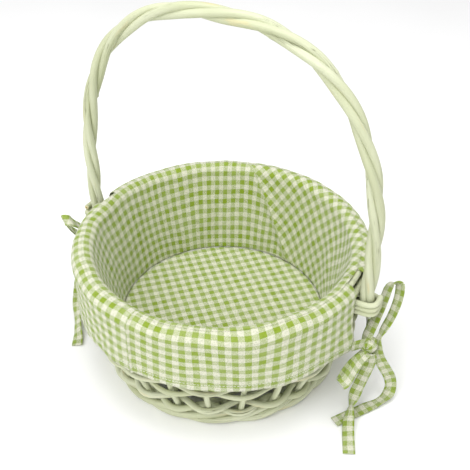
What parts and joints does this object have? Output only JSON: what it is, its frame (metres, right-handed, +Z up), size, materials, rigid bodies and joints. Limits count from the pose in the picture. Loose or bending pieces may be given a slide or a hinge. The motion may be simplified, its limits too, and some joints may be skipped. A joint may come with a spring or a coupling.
{
  "type": "easter basket",
  "caption": "Round woven willow basket with a fixed roped handle, a gingham cloth liner folded over the rim and flat ties in bows at the handle feet.",
  "frame": {"origin": "centre of the basket's underside, on the surface it stands on", "axes": "+Z up; the handle stands in the XZ plane; the front flap of the liner faces -Y"},
  "size_m": [0.323, 0.2596, 0.3219],
  "materials": {
    "willow": "thin pale yellow-green paint",
    "gingham": "woven cotton check",
    "tie_cloth": "woven cotton check"
  },
  "bodies": {
    "root": {"base_sticks_lower": "willow", "base_sticks_upper": "willow", "base_weaver_a": "willow", "base_weaver_b": "willow", "side_stakes": "willow", "foot_rod_inner": "willow", "foot_rod_outer": "willow", "foot_rod_upper": "willow", "side_weaver_a": "willow", "side_weaver_b": "willow", "border_rod_inner": "willow", "border_rod_outer": "willow", "border_rod_top": "willow", "handle_lashing_right": "willow", "handle_lashing_left": "willow", "wale_rod_1": "willow", "wale_rod_2": "willow", "handle_rod_a": "willow", "handle_rod_b": "willow", "handle_rod_c": "willow", "liner_base": "gingham", "liner_wall": "gingham", "liner_front_flap": "gingham", "liner_back_flap": "gingham", "tie_front_right": "tie_cloth", "tie_back_right": "tie_cloth", "tie_front_left": "tie_cloth", "tie_back_left": "tie_cloth"}
  },
  "joints": []
}
